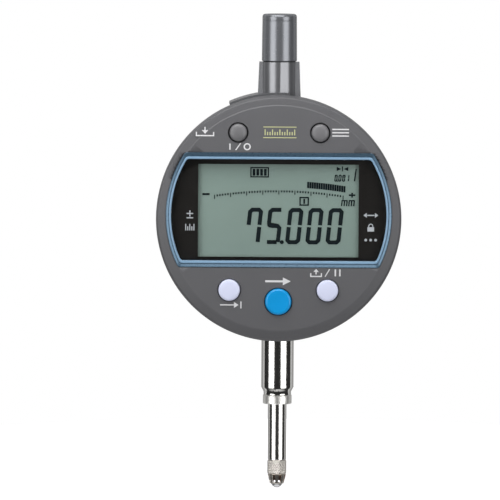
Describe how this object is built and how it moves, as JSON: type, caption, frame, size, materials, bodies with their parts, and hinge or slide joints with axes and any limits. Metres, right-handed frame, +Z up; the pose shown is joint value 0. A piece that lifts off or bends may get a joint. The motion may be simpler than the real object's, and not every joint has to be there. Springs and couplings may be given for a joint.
{
  "type": "digital indicator",
  "caption": "Plunger-type digital indicator with a turning round display, push buttons, a clamping stem and a sliding spindle with a ball contact.",
  "frame": {"origin": "middle of the stem's clamping length, on the stem's axis", "axes": "+Z up the spindle towards the cap, -Y the way the display faces, +X to the display's right"},
  "size_m": [0.06, 0.0279, 0.1172],
  "materials": {
    "case_paint": "die-cast metal with fine-textured dark grey paint",
    "cap_plastic": "smooth satin dark grey plastic",
    "bezel_plastic": "moulded mid-grey plastic with a fine matt texture",
    "trim_blue": "satin metallic blue trim",
    "window_clear": "clear gloss window",
    "window_print": "black back print",
    "lcd_cell": "grey-green reflective LCD",
    "button_grey": "satin grey plastic",
    "button_white": "satin cool white plastic",
    "button_blue": "satin sky blue plastic",
    "steel": "fine ground hardened steel",
    "carbide": "polished carbide",
    "hidden_steel": "plain steel",
    "bronze": "plain bronze",
    "rubber_black": "matt black rubber",
    "inner_black": "matt black plastic",
    "inner_white": "matt white plastic",
    "board_green": "green solder mask",
    "cable_amber": "amber film",
    "scale_glass": "clear glass with a printed grating"
  },
  "bodies": {
    "base": {"rear_case": "case_paint", "back_cover": "case_paint", "cover_screws": "hidden_steel", "cover_gasket": "rubber_black", "stem": "steel", "lower_bush": "bronze", "wiper_seal": "rubber_black", "stem_end_ring": "steel", "upper_bush": "bronze", "spring_seat": "hidden_steel", "return_spring": "hidden_steel", "cap_seal": "rubber_black", "spindle_cap": "cap_plastic", "hub_retainer": "hidden_steel", "retainer_screws": "hidden_steel", "rotation_seal": "rubber_black", "flat_cable": "cable_amber", "output_connector": "inner_black", "connector_cover": "case_paint", "guide_rail": "hidden_steel", "rail_screws": "hidden_steel", "read_head": "board_green", "read_head_screws": "hidden_steel", "battery_holder": "inner_black", "battery_contacts": "bronze", "battery": "hidden_steel"},
    "display_unit": {"front_bezel": "bezel_plastic", "trim_ring": "trim_blue", "display_window": "window_clear", "window_mask": "window_print", "lcd_panel": "lcd_cell", "lcd_holder": "inner_white", "zebra_strips": "rubber_black", "upper_membrane": "rubber_black", "lower_membrane": "rubber_black", "switch_domes": "hidden_steel", "main_board": "board_green", "board_chips": "inner_black", "board_screws": "hidden_steel", "rear_plate": "bezel_plastic", "plate_screws": "hidden_steel", "stop_pin": "hidden_steel"},
    "upper_left_button": {"upper_left_button": "button_grey"},
    "upper_right_button": {"upper_right_button": "button_grey"},
    "lower_left_button": {"lower_left_button": "button_white"},
    "lower_right_button": {"lower_right_button": "button_white"},
    "middle_button": {"middle_button": "button_blue"},
    "spindle_unit": {"spindle": "steel", "contact_holder": "steel", "contact_ball": "carbide", "top_screw": "hidden_steel", "carriage": "bronze", "carriage_screws": "hidden_steel", "guide_pin": "hidden_steel", "scale_plate": "scale_glass"},
    "battery_lid": {"battery_cover": "case_paint", "battery_cover_seal": "rubber_black"}
  },
  "joints": [
    {"name": "spindle_slide", "type": "slide", "parent": "base", "child": "spindle_unit", "axis": [0, 0, 1], "range_m": [0, 0.0127], "stiffness_N_per_m": 40, "springref_m": -0.0225, "deforming": ["return_spring"]},
    {"name": "display_rotation", "type": "hinge", "parent": "base", "child": "display_unit", "pos_m": [0, -0.007, 0.0365], "axis": [0, 1, 0], "range_deg": [-165, 165]},
    {"name": "battery_cover_turn", "type": "hinge", "parent": "base", "child": "battery_lid", "pos_m": [0.014, 0.0081, 0.0365], "axis": [0, 1, 0], "range_deg": [0, 60]},
    {"name": "upper_left_button_press", "type": "slide", "parent": "display_unit", "child": "upper_left_button", "axis": [0, 1, 0], "range_m": [0, 0.0005], "stiffness_N_per_m": 2000, "springref_m": -0.0004},
    {"name": "upper_right_button_press", "type": "slide", "parent": "display_unit", "child": "upper_right_button", "axis": [0, 1, 0], "range_m": [0, 0.0005], "stiffness_N_per_m": 2000, "springref_m": -0.0004},
    {"name": "lower_left_button_press", "type": "slide", "parent": "display_unit", "child": "lower_left_button", "axis": [0, 1, 0], "range_m": [0, 0.0005], "stiffness_N_per_m": 2000, "springref_m": -0.0004},
    {"name": "lower_right_button_press", "type": "slide", "parent": "display_unit", "child": "lower_right_button", "axis": [0, 1, 0], "range_m": [0, 0.0005], "stiffness_N_per_m": 2000, "springref_m": -0.0004},
    {"name": "middle_button_press", "type": "slide", "parent": "display_unit", "child": "middle_button", "axis": [0, 1, 0], "range_m": [0, 0.0005], "stiffness_N_per_m": 2000, "springref_m": -0.0004}
  ]
}
